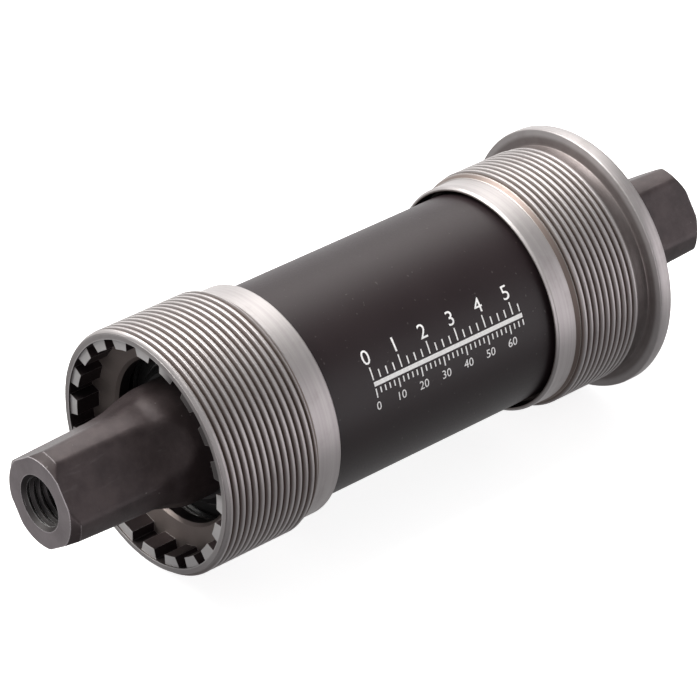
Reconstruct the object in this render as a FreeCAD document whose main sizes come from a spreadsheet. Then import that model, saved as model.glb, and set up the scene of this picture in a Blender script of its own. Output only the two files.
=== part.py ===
import FreeCAD, Part
import Sketcher
import math
import os

# A sealed cartridge bottom bracket for a square-taper crankset, in millimetres.
# The spindle lies along Y. The origin is the middle of the spindle and of the frame shell
# that the cups screw into. +Y points to the cyclist's left, +Z up.

sizes = {
    # frame shell, spindle and tube
    "shell_width": 73.0,
    "spindle_length": 113.0,
    "tube_diameter": 30.8,
    "tube_wall": 2.2,
    # cups
    "cup_wall": 2.0,
    "pilot_drop": 0.8,
    "relief_drop": 0.65,
    "relief_width": 1.9,
    "thread_chamfer": 0.8,
    "mouth_chamfer": 0.3,
    "rim_chamfer": 0.25,
    "left_cup_stand_out": 2.9,
    "left_cup_length": 20.0,
    "left_pilot_length": 4.0,
    "drive_cup_length": 17.0,
    "drive_pilot_length": 3.4,
    "drive_mouth_clearance": 0.65,
    "drive_mouth_depth": 2.5,
    "flange_height": 1.95,
    "flange_thickness": 2.4,
    "flange_rounding": 0.8,
    "relief_fillet": 0.75,
    # splined sockets for the fitting tool
    "spline_count": 20,
    "rim_wall": 1.3,
    "tooth_height": 1.45,
    "notch_root_width": 1.9,
    "notch_tip_width": 2.7,
    "notch_overcut": 0.9,
    "rim_height": 0.4,
    "socket_depth": 4.0,
    "web_thickness": 2.6,
    "web_dish": 0.6,
    "web_ledge": 3.0,
    "web_chamfer": 0.25,
    # ball bearings
    "seat_wall": 1.4,
    "bearing_section": 5.5,
    "bearing_width": 7.0,
    "bearing_inset": 1.4,
    "ball_diameter": 3.175,
    "ball_count": 13,
    "land_height": 0.95,
    "ring_chamfer": 0.3,
    "cage_thickness": 1.0,
    "cage_width": 4.4,
    "seal_thickness": 0.55,
    "seal_inset": 0.25,
    "seal_bead": 0.45,
    "seal_recess": 0.2,
    "seal_seat": 0.35,
    # retaining rings, sleeve and wipers
    "retainer_thickness": 1.0,
    "retainer_height": 1.5,
    "retainer_groove": 0.55,
    "retainer_gap_angle": 14.0,
    "sleeve_wall": 1.3,
    "wiper_height": 1.5,
    "wiper_width": 1.2,
    # square tapers and crank bolt holes
    "waist_drop": 0.3,
    "seat_run_in": 1.0,
    "corner_drop": 0.55,
    "corner_taper": 0.4,
    "corner_length": 15.5,
    "corner_blend": 3.0,
    "flats_count": 4,
    "flats_cut": 1.3,
    "flats_slope": 0.0349,
    "flats_length": 12.0,
    "flats_run_out_radius": 18.0,
    "end_face_width": 1.7,
    "end_chamfer": 1.0,
    "bolt_hole_diameter": 7.0,
    "bolt_hole_depth": 25.0,
    "bolt_hole_tip": 2.0,
    "countersink_diameter": 8.0,
    "countersink_depth": 0.6,
    # fits
    "press_clearance": 0.02,
    "slip_clearance": 0.08,
    "end_clearance": 0.1,
    "ball_clearance": 0.06,
    "lip_clearance": 0.08,
}

document = FreeCAD.newDocument("BottomBracket")
sheet = document.addObject("Spreadsheet::Sheet", "Sizes")
for row, (alias, number) in enumerate(sizes.items(), start=1):
    sheet.set(f"A{row}", alias)
    sheet.set(f"B{row}", str(number))
    sheet.setAlias(f"B{row}", alias)
document.recompute()


class Size:
    """A length with the sheet expression that drives it."""

    def __init__(self, text, value):
        self.text = text
        self.value = value

    def __add__(self, other):
        other = as_size(other)
        return Size(f"({self.text} + {other.text})", self.value + other.value)

    def __sub__(self, other):
        other = as_size(other)
        return Size(f"({self.text} - {other.text})", self.value - other.value)

    def __mul__(self, other):
        other = as_size(other)
        return Size(f"({self.text} * {other.text})", self.value * other.value)

    def __truediv__(self, other):
        other = as_size(other)
        return Size(f"({self.text} / {other.text})", self.value / other.value)

    def __radd__(self, other):
        return as_size(other) + self

    def __rsub__(self, other):
        return as_size(other) - self

    def __rmul__(self, other):
        return as_size(other) * self

    def __rtruediv__(self, other):
        return as_size(other) / self


def as_size(number):
    return number if isinstance(number, Size) else Size(str(number), float(number))


def size(alias):
    return Size(f"Sizes.{alias}", float(sheet.get(alias)))


def half(alias):
    return size(alias) / 2


flat_angle = 35  # degrees about Y, from the X axis to the middle of a flat


# ---- places shared by several pieces -------------------------------------------------------

def end_of(side):
    return side * half("spindle_length")


def seat_face():
    """Face of the flange that meets the frame shell."""
    return -1 * half("shell_width")


def cup_face(side):
    """Outer face of a cup."""
    if side > 0:
        return half("shell_width") + size("left_cup_stand_out")
    return seat_face() - size("flange_thickness")


def web_inside(side):
    """Inner face of a cup's web, which the tube's end meets."""
    return cup_face(side) - side * (size("socket_depth") + size("web_thickness"))


def tube_end(side):
    """End of the tube: tight against the drive side web, just short of the loose cup's."""
    gap = size("end_clearance") if side > 0 else as_size(0)
    return web_inside(side) - side * gap


def bearing_outside(side):
    return tube_end(side) - side * size("bearing_inset")


def bearing_inside(side):
    return bearing_outside(side) - side * size("bearing_width")


def bearing_middle(side):
    return bearing_outside(side) - side * half("bearing_width")


def thread_radius():
    return half("tube_diameter") + size("cup_wall")


def spline_root():
    return thread_radius() - size("rim_wall")


def spline_tip():
    return spline_root() - size("tooth_height")


def bearing_radius():
    return half("tube_diameter") - size("seat_wall")


def bore_radius():
    return bearing_radius() - size("bearing_section")


def pitch_radius():
    return (bore_radius() + bearing_radius()) / 2


def bearing_ends(side):
    """Low and high faces of a bearing along the spindle."""
    return in_order(bearing_inside(side), bearing_outside(side))


def in_order(first, second):
    return (first, second) if first.value < second.value else (second, first)


def inner_land():
    return pitch_radius() - size("land_height")


def outer_land():
    return pitch_radius() + size("land_height")


def race_radius():
    return half("ball_diameter") + size("ball_clearance")


def corner_radius():
    """Rounded corners of the square, where the taper ends."""
    return bore_radius() - size("corner_drop")


def corner_end_radius():
    return corner_radius() - size("corner_taper")


# ---- building blocks -----------------------------------------------------------------------

def new_body(name):
    body = document.addObject("PartDesign::Body", name)
    body.Label = name
    return body


def new_sketch(body, role, name):
    sketch = body.newObject("Sketcher::SketchObject", name)
    origin = next(item for item in body.Origin.OriginFeatures if item.Role == role)
    sketch.AttachmentSupport = [(origin, "")]
    sketch.MapMode = "FlatFace"
    return sketch


def bind_coordinate(sketch, kind, axis, edge, point, coordinate):
    """Fix one coordinate of a sketch point, as a distance from the sketch's origin."""
    coordinate = as_size(coordinate)
    if coordinate.value == 0:
        sketch.addConstraint(Sketcher.Constraint("PointOnObject", edge, point, axis))
        return
    constraint = Sketcher.Constraint(kind, -1, 1, edge, point, coordinate.value)
    index = sketch.addConstraint(constraint)
    sketch.setExpression(f"Constraints[{index}]", coordinate.text)


def bind_point(sketch, edge, point, place):
    bind_coordinate(sketch, "DistanceX", -2, edge, point, place[0])
    bind_coordinate(sketch, "DistanceY", -1, edge, point, place[1])


def bind_radius(sketch, edge, radius):
    index = sketch.addConstraint(Sketcher.Constraint("Radius", edge, radius.value))
    sketch.setExpression(f"Constraints[{index}]", radius.text)


def vector(place):
    return FreeCAD.Vector(as_size(place[0]).value, as_size(place[1]).value, 0)


def arc_between(start, end, radius, left):
    """Arc from start to end whose centre lies left or right of the way along the chord."""
    chord = end - start
    rise = math.sqrt(max(radius ** 2 - chord.Length ** 2 / 4, 0))
    normal = FreeCAD.Vector(-chord.y, chord.x, 0) / chord.Length
    centre = (start + end) / 2 + normal * (rise if left else -rise)
    first, last = (start, end) if left else (end, start)
    angles = [math.atan2(p.y - centre.y, p.x - centre.x) for p in (first, last)]
    circle = Part.Circle(centre, FreeCAD.Vector(0, 0, 1), radius)
    return Part.ArcOfCircle(circle, angles[0], angles[1])


def draw_profile(sketch, places):
    """Closed outline. A place (x, y) ends a line. (x, y, radius, left) ends an arc whose
    centre lies to the left of its chord, or to the right."""
    ends = []
    count = len(places)
    for index in range(count):
        start = places[index]
        end = places[(index + 1) % count]
        if len(end) == 2:
            edge = sketch.addGeometry(Part.LineSegment(vector(start), vector(end)))
            ends.append((edge, 1, 2))
            continue
        radius, left = as_size(end[2]), end[3]
        edge = sketch.addGeometry(arc_between(vector(start), vector(end), radius.value, left))
        ends.append((edge, 1, 2) if left else (edge, 2, 1))
        bind_radius(sketch, edge, radius)
    for index in range(count):
        edge, first, last = ends[index]
        following, following_first, _ = ends[(index + 1) % count]
        sketch.addConstraint(
            Sketcher.Constraint("Coincident", edge, last, following, following_first))
        bind_point(sketch, edge, first, places[index][:2])


def revolve(body, places, angle=None):
    """Turn an outline of (radius, y) places about the Y axis."""
    sketch = new_sketch(body, "XY_Plane", "Profile")
    draw_profile(sketch, places)
    turned = body.newObject("PartDesign::Revolution", "Turned")
    turned.Profile = sketch
    turned.ReferenceAxis = (sketch, ["V_Axis"])
    turned.Angle = 360
    if angle is not None:
        turned.setExpression("Angle", angle.text)
    return turned


def polar_pattern(body, feature, axis, count):
    pattern = body.newObject("PartDesign::PolarPattern", "Pattern")
    pattern.Originals = [feature]
    pattern.Axis = axis
    pattern.Angle = 360
    pattern.Occurrences = int(count.value)
    pattern.setExpression("Occurrences", count.text)
    body.Tip = pattern
    return pattern


def ring_places(inside, outside, low, high):
    """Plain rectangular section."""
    return [(inside, low), (outside, low), (outside, high), (inside, high)]


# ---- cups ----------------------------------------------------------------------------------

def socket_places(side):
    """Tool socket of a cup, from the tube's seat out to the edge of the rim."""
    face = cup_face(side)
    shoulder = face - side * size("socket_depth")
    hole = spline_tip() - size("web_ledge")
    dish = shoulder - side * size("web_dish")
    return [
        (hole, web_inside(side)),
        (hole, dish - side * size("web_chamfer")),
        (hole + size("web_chamfer"), dish),
        (spline_tip(), shoulder),
        (spline_tip(), face - side * size("rim_height")),
        (spline_root(), face - side * size("rim_height")),
        (spline_root(), face),
    ]


def cut_splines(body, side):
    """Open the notches that leave a ring of teeth in the socket."""
    sketch = new_sketch(body, "XZ_Plane", "Notch")
    sketch.setExpression("AttachmentOffset.Base.z", (-1 * cup_face(side)).text)
    sketch.setExpression("AttachmentOffset.Rotation.Angle", (180 / size("spline_count")).text)
    inner = spline_tip() - size("notch_overcut")
    outer = spline_root()
    draw_profile(sketch, [
        (inner, -1 * half("notch_tip_width")),
        (outer, -1 * half("notch_root_width")),
        (outer, half("notch_root_width")),
        (inner, half("notch_tip_width")),
    ])
    notch = body.newObject("PartDesign::Pocket", "NotchCut")
    notch.Profile = sketch
    notch.Reversed = side > 0
    notch.setExpression("Length", size("socket_depth").text)
    polar_pattern(body, notch, (sketch, ["N_Axis"]), size("spline_count"))


def make_non_drive_cup():
    """Loose threaded cup that slips over the left end of the tube."""
    body = new_body("non_drive_cup")
    face = cup_face(1)
    mouth = face - size("left_cup_length")
    thread_start = mouth + size("left_pilot_length")
    crest = thread_radius()
    pilot = crest - size("pilot_drop")
    bore = half("tube_diameter") + size("slip_clearance")
    lead = size("mouth_chamfer")
    revolve(body, socket_places(1) + [
        (crest - size("rim_chamfer"), face),
        (crest, face - size("rim_chamfer")),
        (crest, thread_start + size("thread_chamfer")),
        (pilot, thread_start),
        (pilot, mouth + lead),
        (pilot - lead, mouth),
        (bore + lead, mouth),
        (bore, mouth + lead),
        (bore, web_inside(1)),
    ])
    cut_splines(body, 1)


def make_drive_side_cup():
    """Flanged cup fixed to the right end of the tube."""
    body = new_body("drive_side_cup")
    face = cup_face(-1)
    seat = seat_face()
    mouth = seat + size("drive_cup_length")
    thread_start = mouth - size("drive_pilot_length")
    thread_end = seat + size("relief_width")
    crest = thread_radius()
    pilot = crest - size("pilot_drop")
    relief = crest - size("relief_drop")
    rim = crest + size("flange_height")
    edge = size("flange_rounding")
    fillet = size("relief_fillet")
    bore = half("tube_diameter") + size("press_clearance")
    counterbore = half("tube_diameter") + size("drive_mouth_clearance")
    lead = size("mouth_chamfer")
    revolve(body, socket_places(-1) + [
        (rim - edge, face),
        (rim, face + edge, edge, True),
        (rim, seat - edge),
        (rim - edge, seat, edge, True),
        (relief + fillet, seat),
        (relief, seat + fillet, fillet, False),
        (relief, thread_end),
        (crest, thread_end),
        (crest, thread_start - size("thread_chamfer")),
        (pilot, thread_start),
        (pilot, mouth - lead),
        (pilot - lead, mouth),
        (counterbore, mouth),
        (counterbore, mouth - size("drive_mouth_depth")),
        (bore, mouth - size("drive_mouth_depth") - lead),
        (bore, web_inside(-1)),
    ])
    cut_splines(body, -1)


# ---- tube ----------------------------------------------------------------------------------

def tube_inside(side):
    """Bearing seat and retaining ring groove, from the tube's end inwards."""
    seat = bearing_radius()
    groove = seat + size("retainer_groove")
    outer = bearing_outside(side)
    groove_end = outer + side * size("retainer_thickness")
    return [
        (seat, tube_end(side)),
        (seat, groove_end),
        (groove, groove_end),
        (groove, outer),
        (seat, outer),
        (seat, bearing_inside(side)),
        (half("tube_diameter") - size("tube_wall"), bearing_inside(side)),
    ]


def make_cartridge_shell():
    body = new_body("cartridge_shell")
    outside = half("tube_diameter")
    lead = size("mouth_chamfer")
    right = [
        (outside - lead, tube_end(-1)),
        (outside, tube_end(-1) + lead),
    ]
    left = [
        (outside, tube_end(1) - lead),
        (outside - lead, tube_end(1)),
    ]
    revolve(body, right + left + tube_inside(1) + tube_inside(-1)[::-1])


# ---- bearings ------------------------------------------------------------------------------

def cut_race(body, middle):
    """Ball track of one ring, as a circle turned about the spindle."""
    sketch = new_sketch(body, "XY_Plane", "Track")
    centre = FreeCAD.Vector(pitch_radius().value, middle.value, 0)
    edge = sketch.addGeometry(
        Part.Circle(centre, FreeCAD.Vector(0, 0, 1), race_radius().value))
    bind_radius(sketch, edge, race_radius())
    bind_point(sketch, edge, 3, (pitch_radius(), middle))
    track = body.newObject("PartDesign::Groove", "TrackCut")
    track.Profile = sketch
    track.ReferenceAxis = (sketch, ["V_Axis"])
    track.Angle = 360


def make_inner_ring(name, side):
    body = new_body(name)
    low, high = bearing_ends(side)
    bore = bore_radius()
    bevel = size("ring_chamfer")
    revolve(body, [
        (bore, low + bevel),
        (bore + bevel, low),
        (inner_land(), low),
        (inner_land(), high),
        (bore + bevel, high),
        (bore, high - bevel),
    ])
    cut_race(body, bearing_middle(side))


def make_outer_ring(name, side):
    body = new_body(name)
    low, high = bearing_ends(side)
    outside = bearing_radius() - size("press_clearance")
    bevel = size("ring_chamfer")
    step = size("seal_inset") + size("seal_thickness")
    seal_seat = outer_land() + size("seal_seat")
    revolve(body, [
        (seal_seat, low),
        (outside - bevel, low),
        (outside, low + bevel),
        (outside, high - bevel),
        (outside - bevel, high),
        (seal_seat, high),
        (seal_seat, high - step),
        (outer_land(), high - step),
        (outer_land(), low + step),
        (seal_seat, low + step),
    ])
    cut_race(body, bearing_middle(side))


def make_balls(name, side):
    """One full row of loose balls."""
    body = new_body(name)
    body.AllowCompound = True
    ball = body.newObject("PartDesign::AdditiveSphere", "Ball")
    ball.setExpression("Radius", half("ball_diameter").text)
    plane = next(item for item in body.Origin.OriginFeatures if item.Role == "XY_Plane")
    ball.AttachmentSupport = [(plane, "")]
    ball.MapMode = "FlatFace"
    ball.setExpression("AttachmentOffset.Base.x", pitch_radius().text)
    ball.setExpression("AttachmentOffset.Base.y", bearing_middle(side).text)
    axis = next(item for item in body.Origin.OriginFeatures if item.Role == "Y_Axis")
    polar_pattern(body, ball, (axis, [""]), size("ball_count"))


def make_cage(name, side):
    """Ball cage: a ring with one round pocket for each ball."""
    body = new_body(name)
    middle = bearing_middle(side)
    inside = pitch_radius() - half("cage_thickness")
    outside = pitch_radius() + half("cage_thickness")
    low = middle - half("cage_width")
    high = middle + half("cage_width")
    revolve(body, ring_places(inside, outside, low, high))
    sketch = new_sketch(body, "YZ_Plane", "Pocket")
    centre = FreeCAD.Vector(middle.value, 0, 0)
    edge = sketch.addGeometry(
        Part.Circle(centre, FreeCAD.Vector(0, 0, 1), race_radius().value))
    bind_radius(sketch, edge, race_radius())
    bind_point(sketch, edge, 3, (middle, 0))
    pocket = body.newObject("PartDesign::Pocket", "PocketCut")
    pocket.Profile = sketch
    pocket.Reversed = True
    pocket.setExpression("Length", bearing_radius().text)
    polar_pattern(body, pocket, (sketch, ["H_Axis"]), size("ball_count"))


def make_bearing_seal(name, face, inward):
    """Rubber seal held in the outer ring, thinner between its bead and its lip.

    The lip clears the inner ring.
    """
    body = new_body(name)
    near = face + inward * size("seal_inset")
    web = near + inward * size("seal_recess")
    far = near + inward * size("seal_thickness")
    lip = inner_land() + size("lip_clearance")
    outside = outer_land() + size("seal_seat") - size("press_clearance")
    bead = size("seal_bead")
    revolve(body, [
        (lip, near),
        (lip + bead, near),
        (lip + bead, web),
        (outside - bead, web),
        (outside - bead, near),
        (outside, near),
        (outside, far),
        (lip, far),
    ])


def make_retaining_ring(name, side):
    """Snap ring in the tube's groove, open at one place."""
    body = new_body(name)
    outside = bearing_radius() + size("retainer_groove") - size("press_clearance")
    inside = bearing_radius() + size("retainer_groove") - size("retainer_height")
    start = bearing_outside(side)
    end = start + side * size("retainer_thickness")
    places = ring_places(inside, outside, *in_order(start, end))
    revolve(body, places, 360 - size("retainer_gap_angle"))


def make_wiper(name, side):
    """Rubber wiper on the spindle, outside the bearing's inner ring."""
    body = new_body(name)
    start = bearing_outside(side)
    end = start + side * size("wiper_width")
    root = bore_radius()
    top = root + size("wiper_height")
    revolve(body, [
        (root, start),
        (top, start),
        (top, start + side * size("wiper_width") / 3),
        (root + size("wiper_height") / 3, end),
        (root, end),
    ])


def make_bearing(prefix, side):
    make_outer_ring(f"{prefix}_outer_ring", side)
    make_inner_ring(f"{prefix}_inner_ring", side)
    make_balls(f"{prefix}_balls", side)
    make_cage(f"{prefix}_ball_cage", side)
    make_bearing_seal(f"{prefix}_outer_seal", bearing_outside(side), -side)
    make_bearing_seal(f"{prefix}_inner_seal", bearing_inside(side), side)
    make_retaining_ring(f"{prefix}_retaining_ring", side)
    make_wiper(f"{prefix}_spindle_wiper", side)


# ---- spindle -------------------------------------------------------------------------------

def spindle_side(side):
    """Outline of one half of the spindle, from the crank bolt hole round to the waist."""
    end = end_of(side)
    hole = half("bolt_hole_diameter")
    hole_bottom = end - side * size("bolt_hole_depth")
    seat = bore_radius() - size("press_clearance")
    corner_root = end - side * size("corner_length")
    seat_end = bearing_inside(side) - side * size("seat_run_in")
    waist = bore_radius() - size("waist_drop")
    return [
        (0, hole_bottom - side * size("bolt_hole_tip")),
        (hole, hole_bottom),
        (hole, end - side * size("countersink_depth")),
        (half("countersink_diameter"), end),
        (half("countersink_diameter") + size("end_face_width"), end),
        (corner_end_radius(), end - side * size("end_chamfer")),
        (corner_radius(), corner_root),
        (seat, corner_root - side * size("corner_blend")),
        (seat, seat_end),
        (waist, seat_end - side * (seat - waist)),
    ]


def cut_flats(body, side):
    """Four tapered flats, cut into the round end of the spindle."""
    sketch = new_sketch(body, "XY_Plane", "Flat")
    sketch.AttachmentOffset = FreeCAD.Placement(
        FreeCAD.Vector(0, 0, 0), FreeCAD.Rotation(FreeCAD.Vector(0, 1, 0), flat_angle))
    end = end_of(side)
    beyond = size("end_chamfer")
    flat_end = end - side * size("flats_length")
    flat = corner_end_radius() - size("flats_cut")
    root = flat + size("flats_slope") * size("flats_length")
    sweep = size("flats_run_out_radius")
    draw_profile(sketch, [
        (flat - size("flats_slope") * beyond, end + side * beyond),
        (root, flat_end),
        (root + sweep, flat_end - side * sweep, sweep, side > 0),
        (root + sweep, end + side * beyond),
    ])
    cut = body.newObject("PartDesign::Pocket", "FlatCut")
    cut.Profile = sketch
    cut.SideType = "Symmetric"
    cut.setExpression("Length", (4 * corner_radius()).text)
    polar_pattern(body, cut, (sketch, ["V_Axis"]), size("flats_count"))


def make_spindle():
    body = new_body("spindle")
    revolve(body, spindle_side(1) + spindle_side(-1)[::-1])
    cut_flats(body, 1)
    cut_flats(body, -1)


def make_spacer_sleeve():
    """Sleeve round the waist that keeps the two inner rings apart."""
    body = new_body("spacer_sleeve")
    inside = bore_radius()
    outside = inside + size("sleeve_wall")
    revolve(body, ring_places(inside, outside, bearing_inside(-1), bearing_inside(1)))


# ---- document ------------------------------------------------------------------------------

def check_document():
    document.recompute()
    for item in document.Objects:
        if "Invalid" in item.State or "Error" in item.State:
            raise RuntimeError(f"{item.Name} ({item.Label}) failed: {item.State}")
    for body in bodies():
        if body.Shape.isNull() or not body.Shape.isValid() or not body.Shape.Solids:
            raise RuntimeError(f"{body.Label} has no valid shape")


def bodies():
    return [item for item in document.Objects if item.TypeId == "PartDesign::Body"]


def write_parts():
    os.makedirs("parts", exist_ok=True)
    for body in bodies():
        body.Shape.exportStep(f"parts/{body.Label}.step")
        solids = len(body.Shape.Solids)
        print(f"{body.Label}: {solids} solid(s), {body.Shape.Volume:.1f} mm3")


make_non_drive_cup()
make_drive_side_cup()
make_cartridge_shell()
make_spindle()
make_spacer_sleeve()
make_bearing("left", 1)
make_bearing("right", -1)
check_document()
write_parts()
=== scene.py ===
import bpy
import bmesh
import math
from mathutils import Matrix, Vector


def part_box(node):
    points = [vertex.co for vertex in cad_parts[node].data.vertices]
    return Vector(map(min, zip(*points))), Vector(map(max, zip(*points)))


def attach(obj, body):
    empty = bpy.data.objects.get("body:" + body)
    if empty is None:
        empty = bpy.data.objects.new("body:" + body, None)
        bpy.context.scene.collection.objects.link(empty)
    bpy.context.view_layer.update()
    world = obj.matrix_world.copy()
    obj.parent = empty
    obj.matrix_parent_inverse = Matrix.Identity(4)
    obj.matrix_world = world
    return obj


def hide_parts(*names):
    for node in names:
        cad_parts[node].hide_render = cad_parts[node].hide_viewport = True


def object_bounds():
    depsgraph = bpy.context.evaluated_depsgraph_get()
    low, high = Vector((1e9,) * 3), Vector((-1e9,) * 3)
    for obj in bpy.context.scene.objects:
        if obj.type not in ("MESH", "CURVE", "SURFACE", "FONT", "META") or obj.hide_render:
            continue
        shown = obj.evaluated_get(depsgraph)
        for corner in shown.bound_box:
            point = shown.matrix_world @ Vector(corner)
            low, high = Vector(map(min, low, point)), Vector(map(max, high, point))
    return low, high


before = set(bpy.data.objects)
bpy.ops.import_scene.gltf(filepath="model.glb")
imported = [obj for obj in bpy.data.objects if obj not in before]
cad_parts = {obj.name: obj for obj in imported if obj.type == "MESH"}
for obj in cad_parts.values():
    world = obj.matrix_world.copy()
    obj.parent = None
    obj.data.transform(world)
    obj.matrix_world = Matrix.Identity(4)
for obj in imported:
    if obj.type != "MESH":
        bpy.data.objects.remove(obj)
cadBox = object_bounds()
mm = 0.001
print("frame loaded:", len(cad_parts), "nodes")


class Wire:
    # one output socket; arithmetic on it adds Math nodes
    def __init__(self, graph, socket):
        self.graph = graph
        self.socket = socket

    def maths(self, operation, *values):
        node = self.graph.add("ShaderNodeMath", {"operation": operation}, dict(enumerate(values)))
        return node.out()

    def __add__(self, other):
        return self.maths("ADD", self, other)

    def __sub__(self, other):
        return self.maths("SUBTRACT", self, other)

    def __mul__(self, other):
        return self.maths("MULTIPLY", self, other)

    def __truediv__(self, other):
        return self.maths("DIVIDE", self, other)

    def __radd__(self, other):
        return self.maths("ADD", other, self)

    def __rsub__(self, other):
        return self.maths("SUBTRACT", other, self)

    def __rmul__(self, other):
        return self.maths("MULTIPLY", other, self)

    def __rtruediv__(self, other):
        return self.maths("DIVIDE", other, self)

    def root(self):
        return self.maths("SQRT", self)

    def size(self):
        return self.maths("ABSOLUTE", self)

    def above(self, low, high):
        # 0 below low, 1 above high, smooth between
        settings = {"interpolation_type": "SMOOTHSTEP"}
        return self.graph.add("ShaderNodeMapRange", settings, {
            "Value": self, "From Min": low, "From Max": high}).out()


class Node:
    def __init__(self, graph, node):
        self.graph = graph
        self.node = node

    def out(self, name=0):
        return Wire(self.graph, self.node.outputs[name])


class Graph:
    # the node tree of one material or of the world
    def __init__(self, owner):
        owner.use_nodes = True
        self.owner = owner
        self.tree = owner.node_tree
        self.tree.nodes.clear()

    def add(self, kind, settings=None, sockets=None):
        node = self.tree.nodes.new(kind)
        for name, value in (settings or {}).items():
            setattr(node, name, value)
        for name, value in (sockets or {}).items():
            if isinstance(value, Wire):
                self.tree.links.new(value.socket, node.inputs[name])
            else:
                node.inputs[name].default_value = value
        return Node(self, node)

    def mix(self, share, first, second):
        # sockets 6 and 7 are the Mix node's two colours, and output 2 is its colour
        return self.add("ShaderNodeMix", {"data_type": "RGBA"}, {
            "Factor": share, 6: first, 7: second}).out(2)

    def noise(self, place, scale, detail=4.0, roughness=0.55):
        return self.add("ShaderNodeTexNoise", None, {
            "Vector": place, "Scale": scale, "Detail": detail, "Roughness": roughness}).out("Fac")

    def stretched(self, place, factors):
        return self.add("ShaderNodeVectorMath", {"operation": "MULTIPLY"}, {
            0: place, 1: factors}).out()

    def objectPlace(self):
        return self.add("ShaderNodeTexCoord").out("Object")

    def split(self, place):
        node = self.add("ShaderNodeSeparateXYZ", None, {"Vector": place})
        return node.out("X"), node.out("Y"), node.out("Z")

    def edges(self, reach, low, high):
        # 1 on sharp edges, from how far a bevelled normal leans away from the true one
        bent = self.add("ShaderNodeBevel", {"samples": 6}, {"Radius": reach}).out()
        true = self.add("ShaderNodeNewGeometry").out("Normal")
        same = self.add("ShaderNodeVectorMath", {"operation": "DOT_PRODUCT"}, {
            0: bent, 1: true}).out("Value")
        return (1.0 - same).above(low, high)

    def bump(self, height, strength, distance):
        return self.add("ShaderNodeBump", None, {
            "Strength": strength, "Distance": distance, "Height": height}).out()

    def finish(self, sockets):
        shader = self.add("ShaderNodeBsdfPrincipled", None, sockets)
        self.add("ShaderNodeOutputMaterial", None, {"Surface": shader.out()})
        return self.owner


def materialGraph(name):
    return Graph(bpy.data.materials.new(name))


def grey(level, tint=(1.0, 1.0, 1.0)):
    return (level * tint[0], level * tint[1], level * tint[2], 1.0)


def inMetres(span):
    return [value * mm for value in span]


def mmBox(node):
    low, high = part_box(node)
    return low / mm, high / mm


def placed(name, data):
    thing = bpy.data.objects.new(name, data)
    bpy.context.scene.collection.objects.link(thing)
    return thing


def makePiece(name, places, faces, materials, faceMaterial=None):
    mesh = bpy.data.meshes.new(name)
    mesh.from_pydata(places, [], faces)
    for material in materials:
        mesh.materials.append(material)
    if faceMaterial:
        for polygon, index in zip(mesh.polygons, faceMaterial):
            polygon.material_index = index
    return placed(name, mesh)


def cleanMesh(piece, gap=0.002 * mm, sharp=30):
    # joins doubled points, drops empty faces, turns every face outward and keeps corners crisp
    work = bmesh.new()
    work.from_mesh(piece.data)
    bmesh.ops.remove_doubles(work, verts=work.verts, dist=gap)
    bmesh.ops.dissolve_degenerate(work, edges=work.edges, dist=gap / 4)
    bmesh.ops.recalc_face_normals(work, faces=work.faces)
    work.to_mesh(piece.data)
    work.free()
    for polygon in piece.data.polygons:
        polygon.use_smooth = True
    piece.data.set_sharp_from_angle(angle=math.radians(sharp))


def bevelled(piece, width, segments=2, limit=28):
    bevel = piece.modifiers.new("softEdges", "BEVEL")
    bevel.width = width
    bevel.segments = segments
    bevel.limit_method = "ANGLE"
    bevel.angle_limit = math.radians(limit)
    bevel.harden_normals = True


def around(radius, along, angle):
    # a point at an angle from +X towards +Z, round the spindle's axis
    return (radius * math.cos(angle), along, radius * math.sin(angle))


def lathe(name, rings, angles, materials, ringMaterial=None):
    # a closed outline of (radius, y), or (tooth radius, tooth y, notch radius, notch y)
    places = []
    for ring in rings:
        for angle, notch in angles:
            radius, along = ring[2:] if notch and len(ring) == 4 else ring[:2]
            places.append(around(radius * mm, along * mm, angle))
    steps = len(angles)
    faces = []
    faceMaterial = []
    for index in range(len(rings)):
        nearRing = index * steps
        farRing = (index + 1) % len(rings) * steps
        for step in range(steps):
            following = (step + 1) % steps
            faces.append((nearRing + step, nearRing + following, farRing + following, farRing + step))
            faceMaterial.append(ringMaterial[index] if ringMaterial else 0)
    piece = makePiece(name, places, faces, materials, faceMaterial)
    cleanMesh(piece)
    return piece


def plainAngles(steps):
    return [(2 * math.pi * step / steps, False) for step in range(steps)]


steelLook = {
    "smooth": grey(0.36, (1.0, 0.93, 0.935)),
    "worn": grey(0.62, (1.0, 0.965, 0.95)),
    "rubbed": grey(0.80, (1.0, 0.98, 0.98)),
    "stain": grey(0.22, (1.0, 0.90, 0.88)),
    # painted shade in the thread's grooves, below the crest
    "root": (0.150, 0.113, 0.098, 1.0),
    # painted shade: near-black on the socket's walls, where the teeth face sideways
    "socketWallShade": (0.045, 0.034, 0.036, 1.0),
    "ledge": (0.225, 0.185, 0.170, 1.0),
    # painted shade for the teeth on one side of the loose cup's socket
    "socketSideShade": (0.030, 0.024, 0.025, 1.0),
    "socketShadeAngle": 141.0,     # degrees round the socket from +X towards +Z
    # painted shade in the groove behind the drive side's flange
    "relief": (0.105, 0.082, 0.078, 1.0),
    "roughness": 0.47,
    "metallic": 0.80,
    # where one colour gives way to the next, in mm
    "threadDepth": (16.95, 17.38),          # radius, from the root to the crest
    "grooveShadeEnd": (38.85, 39.05),             # y, past the loose cup's last groove, where the painted groove shade ends
    "socketWall": (16.05, 16.35),           # radius
    "socketFace": 38.9,                     # distance along Y that a socket's depths start from
    "ledgeDepth": (2.5, 3.0),
    "rubbedDepth": (0.5, 0.7),
    "looseSide": (0.0, 1.0),                # y, so the painted shade is in the loose cup only
    "reliefStart": (-36.75, -36.45),        # y, the groove behind the drive side's flange
    "reliefEnd": (-34.9, -34.2),
    "reliefInside": (16.2, 16.5),           # radius
    "reliefOutside": (17.9, 18.7),
}


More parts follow.
